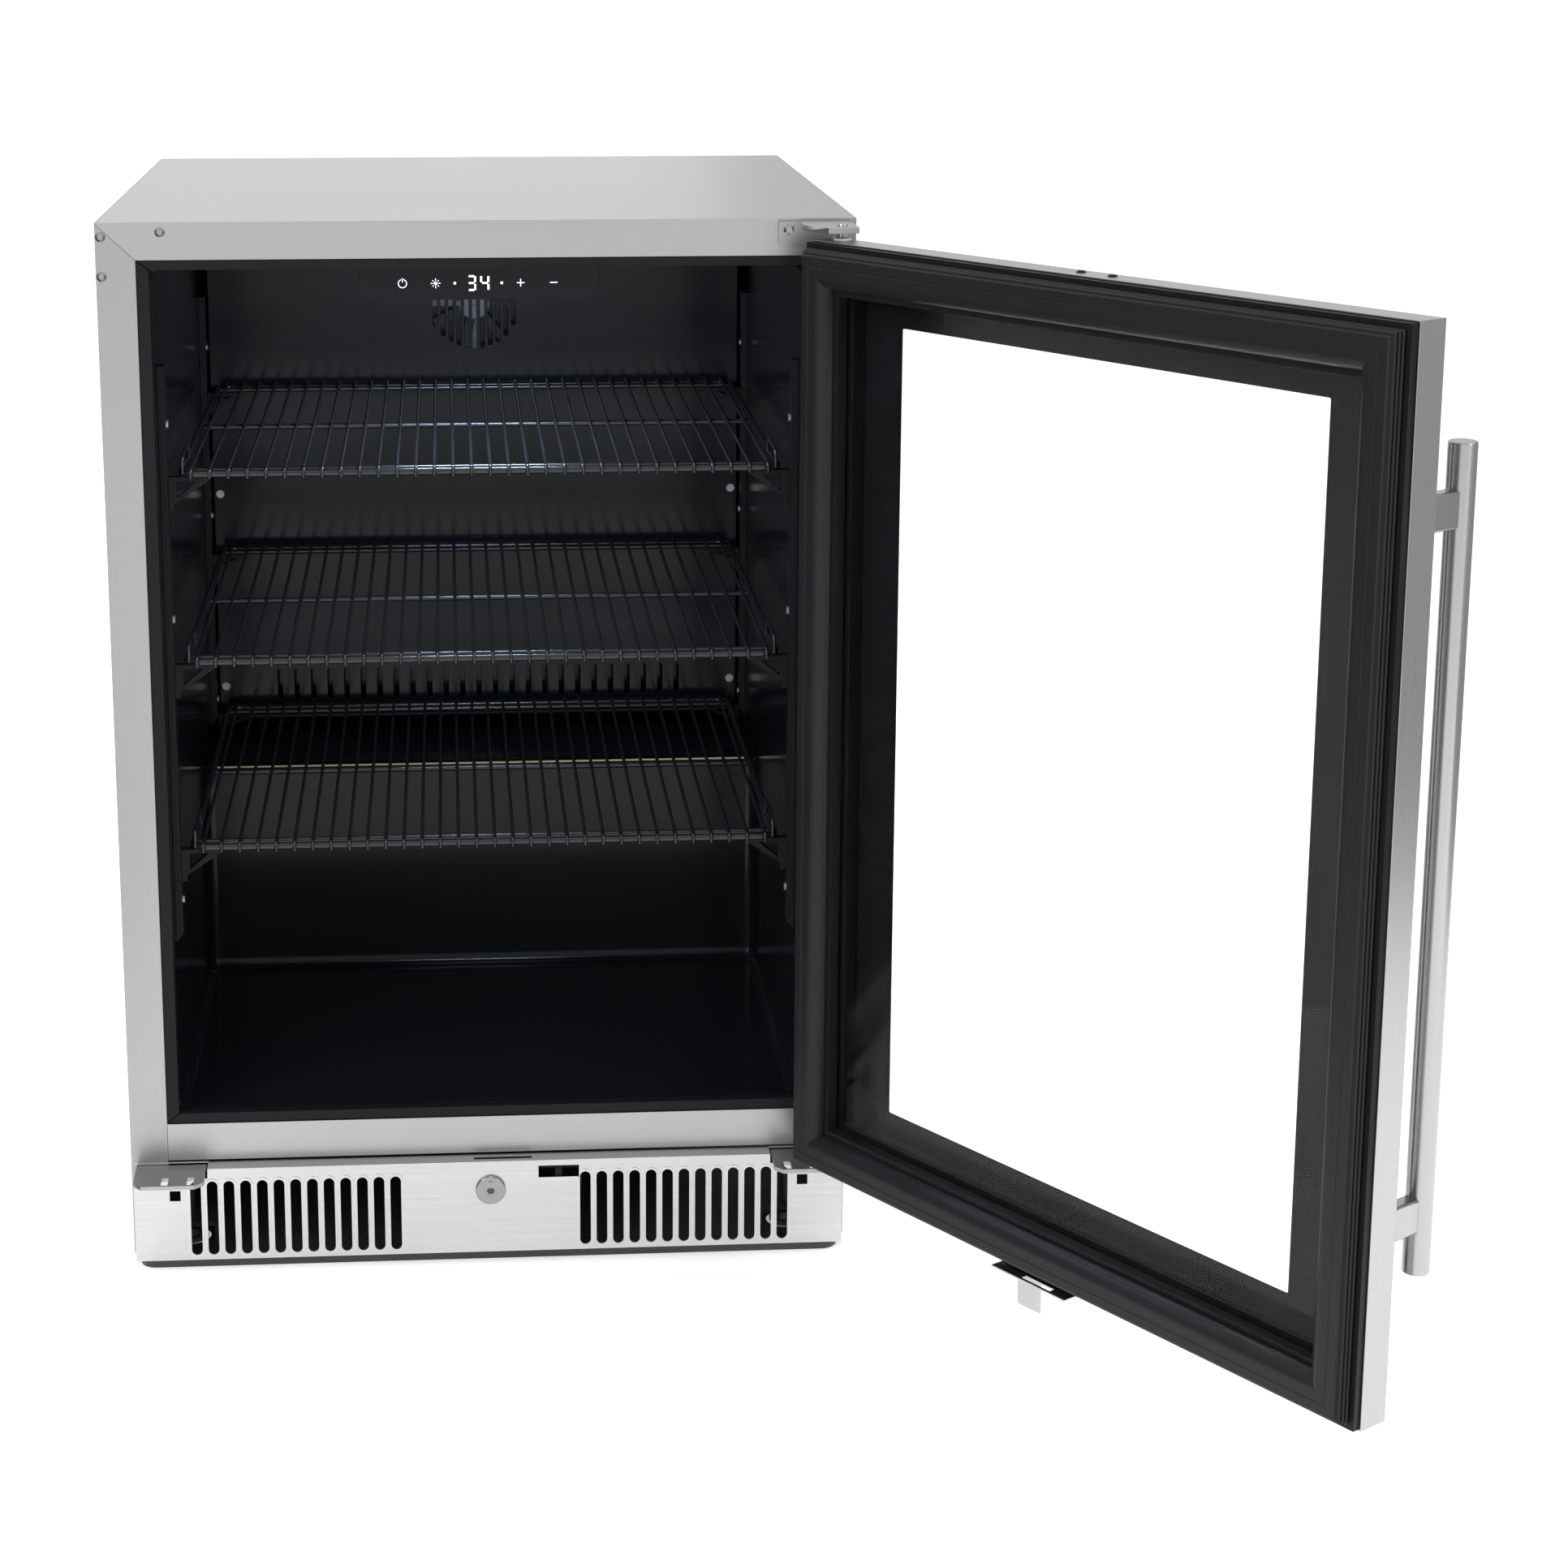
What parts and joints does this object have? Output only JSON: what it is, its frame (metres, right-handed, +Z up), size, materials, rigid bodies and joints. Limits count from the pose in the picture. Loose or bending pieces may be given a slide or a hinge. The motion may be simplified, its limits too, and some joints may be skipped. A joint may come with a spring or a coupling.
{
  "type": "under-counter mini fridge",
  "caption": "Under-counter mini fridge with a steel cabinet, black cabin, wire shelves, touch panel and a right-hinged glass door with a bar handle, door open.",
  "frame": {"origin": "on the floor under the middle of the cabinet's footprint", "axes": "+X to the right seen from the front, +Y to the back, +Z up"},
  "size_m": [0.9497, 1.1352, 0.872],
  "materials": {
    "steel": "satin",
    "bright_steel": "satin",
    "cabinet_coat": "satin",
    "zinc": "satin",
    "liner_plastic": "gloss",
    "foam": "matte",
    "black_plastic": "satin",
    "panel_gloss": "gloss",
    "print_white": "matte",
    "light_lens": "satin",
    "board_green": "satin",
    "black_wire": "satin",
    "alu": "satin",
    "copper": "satin",
    "motor_black": "satin",
    "pane": "gloss",
    "print_black": "satin",
    "seal": "matte",
    "fan_plastic": "satin",
    "nylon": "satin",
    "tray_plastic": "satin"
  },
  "bodies": {
    "cabinet": {"left_side_panel": "steel", "right_side_panel": "steel", "top_panel": "steel", "lower_front_rail": "steel", "back_panel": "zinc", "base_pan": "cabinet_coat", "inner_liner": "liner_plastic", "insulation_foam": "foam", "breaker_strips": "black_plastic", "control_housing": "black_plastic", "control_fascia": "panel_gloss", "control_board": "board_green", "cabin_light": "light_lens", "touch_icons": "print_white", "display_digits": "print_white", "front_shelf_rails": "black_plastic", "rear_shelf_rails": "black_plastic", "shelf_brackets": "black_plastic", "evaporator_cover": "liner_plastic", "cabin_screws": "zinc", "evaporator_fan_frame": "fan_plastic", "evaporator": "alu", "compressor": "motor_black", "condenser": "copper", "condenser_fan_frame": "fan_plastic", "refrigerant_lines": "copper", "drain_tray": "tray_plastic", "machine_cover": "cabinet_coat", "power_inlet": "black_plastic", "kick_plate": "bright_steel", "lock_body": "bright_steel", "switch_housing": "black_plastic", "hinge_top": "steel", "hinge_bottom": "steel", "spare_bracket": "steel", "hinge_screws": "bright_steel", "plug_screws": "bright_steel"},
    "door": {"door_frame": "steel", "door_inner_frame": "black_plastic", "door_gasket": "seal", "inner_glass": "pane", "outer_glass": "pane", "glass_spacer": "print_black", "glass_border": "print_black", "door_bushings": "nylon", "door_plugs": "black_plastic", "handle_bar": "bright_steel", "handle_posts": "steel", "strike_plate": "bright_steel"},
    "shelf_top": {"wire_shelf_top": "black_wire"},
    "shelf_middle": {"wire_shelf_middle": "black_wire"},
    "shelf_lower": {"wire_shelf_lower": "black_wire"},
    "lock_plug": {"lock_cylinder": "bright_steel"},
    "switch_arm": {"switch_lever": "black_plastic"},
    "cabin_fan": {"evaporator_fan_rotor": "fan_plastic"},
    "machine_fan": {"condenser_fan_rotor": "fan_plastic"},
    "foot_front_left": {"foot_front_left": "cabinet_coat"},
    "foot_front_right": {"foot_front_right": "cabinet_coat"},
    "foot_rear_left": {"foot_rear_left": "cabinet_coat"},
    "foot_rear_right": {"foot_rear_right": "cabinet_coat"}
  },
  "joints": [
    {"name": "door_hinge", "type": "hinge", "parent": "cabinet", "child": "door", "pos_m": [0.2825, -0.338, 0.476], "axis": [0, 0, 1], "range_deg": [-123.7, 6.3]},
    {"name": "shelf_top_slide", "type": "slide", "parent": "cabinet", "child": "shelf_top", "axis": [0, -1, 0], "range_m": [0, 0.3]},
    {"name": "shelf_middle_slide", "type": "slide", "parent": "cabinet", "child": "shelf_middle", "axis": [0, -1, 0], "range_m": [0, 0.3]},
    {"name": "shelf_lower_slide", "type": "slide", "parent": "cabinet", "child": "shelf_lower", "axis": [0, -1, 0], "range_m": [0, 0.3]},
    {"name": "lock_turn", "type": "hinge", "parent": "cabinet", "child": "lock_plug", "pos_m": [0, -0.315, 0.0656], "axis": [0, -1, 0], "range_deg": [0, 90]},
    {"name": "switch_press", "type": "hinge", "parent": "cabinet", "child": "switch_arm", "pos_m": [0.057, -0.311, 0.082], "axis": [1, 0, 0], "range_deg": [0, 14], "stiffness_Nm_per_rad": 0.05},
    {"name": "cabin_fan_spin", "type": "hinge", "parent": "cabinet", "child": "cabin_fan", "pos_m": [0, 0.2, 0.742], "axis": [0, 1, 0], "continuous": true},
    {"name": "machine_fan_spin", "type": "hinge", "parent": "cabinet", "child": "machine_fan", "pos_m": [-0.11, 0.135, 0.096], "axis": [0, 1, 0], "continuous": true},
    {"name": "foot_front_left_height", "type": "slide", "parent": "cabinet", "child": "foot_front_left", "axis": [0, 0, 1], "range_m": [-0.016, 0]},
    {"name": "foot_front_right_height", "type": "slide", "parent": "cabinet", "child": "foot_front_right", "axis": [0, 0, 1], "range_m": [-0.016, 0]},
    {"name": "foot_rear_left_height", "type": "slide", "parent": "cabinet", "child": "foot_rear_left", "axis": [0, 0, 1], "range_m": [-0.016, 0]},
    {"name": "foot_rear_right_height", "type": "slide", "parent": "cabinet", "child": "foot_rear_right", "axis": [0, 0, 1], "range_m": [-0.016, 0]}
  ]
}
